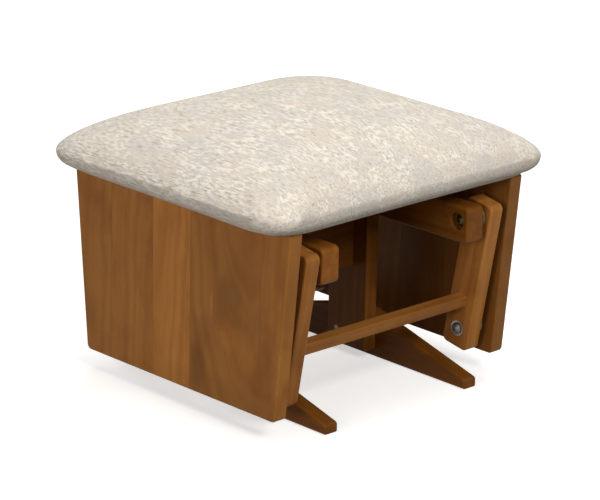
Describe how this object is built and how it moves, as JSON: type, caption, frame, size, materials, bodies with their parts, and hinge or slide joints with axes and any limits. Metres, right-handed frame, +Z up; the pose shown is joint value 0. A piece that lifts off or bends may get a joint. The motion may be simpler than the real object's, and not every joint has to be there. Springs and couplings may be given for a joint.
{
  "type": "glider ottoman",
  "caption": "Cushioned footstool with solid side panels that glides forwards and back on swing arms hung from a wooden base.",
  "frame": {"origin": "on the floor, under the middle of the ottoman at rest", "axes": "+X along the width to the right, +Y to the rear, front faces -Y, +Z up"},
  "size_m": [0.5224, 0.4758, 0.394],
  "materials": {
    "stained_maple": "satin",
    "plywood": "matte",
    "zinc_steel": "satin",
    "bearing_steel": "gloss",
    "brass": "satin",
    "nylon": "matte",
    "foam": "matte",
    "chenille": "matte"
  },
  "bodies": {
    "base": {"right_runner": "stained_maple", "left_runner": "stained_maple", "right_upright": "stained_maple", "left_upright": "stained_maple", "right_top_rail": "stained_maple", "left_top_rail": "stained_maple", "cross_board": "stained_maple", "runner_screws": "zinc_steel", "rail_screws": "zinc_steel", "cross_board_screws": "zinc_steel", "upper_pivot_bolts": "zinc_steel", "upper_bolt_washers": "zinc_steel", "upper_lock_nuts": "zinc_steel", "upper_hub_sleeves": "zinc_steel", "upper_nylon_washers": "nylon", "upper_inner_rings": "bearing_steel", "upper_ring_spacers": "zinc_steel"},
    "front_arms": {"front_right_arm": "stained_maple", "front_left_arm": "stained_maple", "front_tie_bar": "stained_maple", "front_tie_screws": "zinc_steel", "front_bearing_rings": "bearing_steel"},
    "rear_arms": {"rear_right_arm": "stained_maple", "rear_left_arm": "stained_maple", "rear_tie_bar": "stained_maple", "rear_tie_screws": "zinc_steel", "rear_bearing_rings": "bearing_steel"},
    "platform": {"right_side_panel": "stained_maple", "left_side_panel": "stained_maple", "right_cleat": "stained_maple", "left_cleat": "stained_maple", "front_seat_batten": "stained_maple", "rear_seat_batten": "stained_maple", "seat_board": "plywood", "foam_pad": "foam", "cushion_cover": "chenille", "cleat_screws": "zinc_steel", "seat_board_screws": "zinc_steel", "lower_pivot_bolts": "zinc_steel", "lower_bolt_washers": "zinc_steel", "lower_hub_sleeves": "zinc_steel", "lower_nylon_washers": "nylon", "lower_inner_rings": "bearing_steel", "lower_ring_spacers": "zinc_steel", "panel_inserts": "brass"}
  },
  "joints": [
    {"name": "front_arm_swing", "type": "hinge", "parent": "base", "child": "front_arms", "pos_m": [0, -0.1905, 0.241], "axis": [1, 0, 0], "range_deg": [-12, 12]},
    {"name": "rear_arm_swing", "type": "hinge", "parent": "base", "child": "rear_arms", "pos_m": [0, 0.1905, 0.241], "axis": [1, 0, 0], "range_deg": [-12.5, 12.5]},
    {"name": "platform_pivot", "type": "hinge", "parent": "front_arms", "child": "platform", "pos_m": [0, -0.159, 0.067], "axis": [1, 0, 0], "range_deg": [-15, 15]}
  ],
  "couplings": [
    {"joint": "rear_arm_swing", "follows": "front_arm_swing", "ratio": 1},
    {"joint": "platform_pivot", "follows": "front_arm_swing", "ratio": -1.1957}
  ]
}
